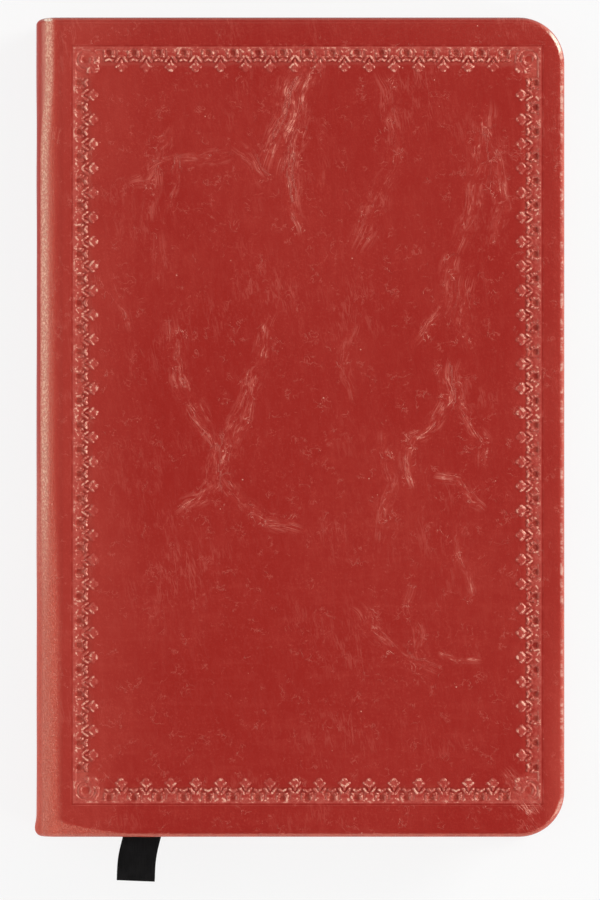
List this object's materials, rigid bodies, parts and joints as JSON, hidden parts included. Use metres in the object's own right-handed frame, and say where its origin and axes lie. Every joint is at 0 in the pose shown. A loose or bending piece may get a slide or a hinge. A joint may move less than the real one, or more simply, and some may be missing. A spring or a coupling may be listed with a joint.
{
  "type": "faux leather journal",
  "caption": "Pocket journal: two hinged covers in tooled red faux leather round a sewn paper block with turning leaves and a black ribbon marker.",
  "frame": {"origin": "middle of the back cover's outer face, on which the closed journal lies", "axes": "+X from the spine to the fore edge, +Y from the tail to the head, +Z from the back cover to the front cover"},
  "size_m": [0.09, 0.1479, 0.016],
  "materials": {
    "faux_leather": "glossy grained deep red with light creases",
    "greyboard": "matte bookbinding board",
    "endpaper": "matte cream",
    "page_paper": "matte cream writing paper",
    "kraft_lining": "matte brown kraft paper",
    "mull_cloth": "open starched cotton",
    "linen_thread": "waxed linen thread",
    "headband_cloth": "woven black and cream stripes",
    "black_ribbon": "satin woven black"
  },
  "bodies": {
    "text_block": {"spine_leather": "faux_leather", "front_joint_leather": "faux_leather", "back_joint_leather": "faux_leather", "spine_strip": "greyboard", "spine_lining": "kraft_lining", "mull": "mull_cloth", "gathering_01": "page_paper", "gathering_02": "page_paper", "gathering_03": "page_paper", "gathering_04": "page_paper", "gathering_05": "page_paper", "gathering_06": "page_paper", "gathering_07": "page_paper", "gathering_08": "page_paper", "gathering_09": "page_paper", "gathering_10": "page_paper", "gathering_11": "page_paper", "gathering_12": "page_paper", "stitch_row_1": "linen_thread", "stitch_row_2": "linen_thread", "stitch_row_3": "linen_thread", "stitch_row_4": "linen_thread", "headband": "headband_cloth", "tailband": "headband_cloth", "ribbon_marker": "black_ribbon"},
    "front_cover": {"front_leather": "faux_leather", "front_board": "greyboard", "front_mull_flap": "mull_cloth", "front_pastedown": "endpaper"},
    "back_cover": {"back_leather": "faux_leather", "back_board": "greyboard", "back_mull_flap": "mull_cloth", "back_pastedown": "endpaper"},
    "front_flyleaf_leaf": {"front_flyleaf": "endpaper"},
    "leaf_1_page": {"leaf_1": "page_paper"},
    "leaf_2_page": {"leaf_2": "page_paper"},
    "leaf_3_page": {"leaf_3": "page_paper"},
    "leaf_4_page": {"leaf_4": "page_paper"},
    "leaf_5_page": {"leaf_5": "page_paper"},
    "leaf_6_page": {"leaf_6": "page_paper"},
    "leaf_7_page": {"leaf_7": "page_paper"},
    "leaf_8_page": {"leaf_8": "page_paper"},
    "back_flyleaf_leaf": {"back_flyleaf": "endpaper"}
  },
  "joints": [
    {"name": "front_cover_hinge", "type": "hinge", "parent": "text_block", "child": "front_cover", "pos_m": [-0.0434, 0, 0.01305], "axis": [0, -1, 0], "range_deg": [0, 178], "deforming": ["front_joint_leather"]},
    {"name": "back_cover_hinge", "type": "hinge", "parent": "text_block", "child": "back_cover", "pos_m": [-0.0434, 0, 0.00295], "axis": [0, 1, 0], "range_deg": [0, 178], "deforming": ["back_joint_leather"]},
    {"name": "front_flyleaf_turn", "type": "hinge", "parent": "text_block", "child": "front_flyleaf_leaf", "pos_m": [-0.0434, 0, 0.01305], "axis": [0, -1, 0], "range_deg": [0, 173]},
    {"name": "leaf_1_turn", "type": "hinge", "parent": "text_block", "child": "leaf_1_page", "pos_m": [-0.0434, 0, 0.01305], "axis": [0, -1, 0], "range_deg": [0, 168]},
    {"name": "leaf_2_turn", "type": "hinge", "parent": "text_block", "child": "leaf_2_page", "pos_m": [-0.0434, 0, 0.01305], "axis": [0, -1, 0], "range_deg": [0, 162]},
    {"name": "leaf_3_turn", "type": "hinge", "parent": "text_block", "child": "leaf_3_page", "pos_m": [-0.0434, 0, 0.01305], "axis": [0, -1, 0], "range_deg": [0, 155]},
    {"name": "leaf_4_turn", "type": "hinge", "parent": "text_block", "child": "leaf_4_page", "pos_m": [-0.0434, 0, 0.01305], "axis": [0, -1, 0], "range_deg": [0, 147]},
    {"name": "leaf_5_turn", "type": "hinge", "parent": "text_block", "child": "leaf_5_page", "pos_m": [-0.0434, 0, 0.01305], "axis": [0, -1, 0], "range_deg": [0, 138]},
    {"name": "leaf_6_turn", "type": "hinge", "parent": "text_block", "child": "leaf_6_page", "pos_m": [-0.0434, 0, 0.01305], "axis": [0, -1, 0], "range_deg": [0, 128]},
    {"name": "leaf_7_turn", "type": "hinge", "parent": "text_block", "child": "leaf_7_page", "pos_m": [-0.0434, 0, 0.01305], "axis": [0, -1, 0], "range_deg": [0, 117]},
    {"name": "leaf_8_turn", "type": "hinge", "parent": "text_block", "child": "leaf_8_page", "pos_m": [-0.0434, 0, 0.01305], "axis": [0, -1, 0], "range_deg": [0, 105]},
    {"name": "back_flyleaf_turn", "type": "hinge", "parent": "text_block", "child": "back_flyleaf_leaf", "pos_m": [-0.0434, 0, 0.00295], "axis": [0, 1, 0], "range_deg": [0, 173]}
  ],
  "couplings": [
    {"joint": "front_flyleaf_turn", "follows": "front_cover_hinge", "ratio": 0.9714},
    {"joint": "leaf_1_turn", "follows": "front_cover_hinge", "ratio": 0.9433},
    {"joint": "leaf_2_turn", "follows": "front_cover_hinge", "ratio": 0.9096},
    {"joint": "leaf_3_turn", "follows": "front_cover_hinge", "ratio": 0.8703},
    {"joint": "leaf_4_turn", "follows": "front_cover_hinge", "ratio": 0.8253},
    {"joint": "leaf_5_turn", "follows": "front_cover_hinge", "ratio": 0.7748},
    {"joint": "leaf_6_turn", "follows": "front_cover_hinge", "ratio": 0.7186},
    {"joint": "leaf_7_turn", "follows": "front_cover_hinge", "ratio": 0.6568},
    {"joint": "leaf_8_turn", "follows": "front_cover_hinge", "ratio": 0.5894},
    {"joint": "back_flyleaf_turn", "follows": "back_cover_hinge", "ratio": 0.9714}
  ]
}
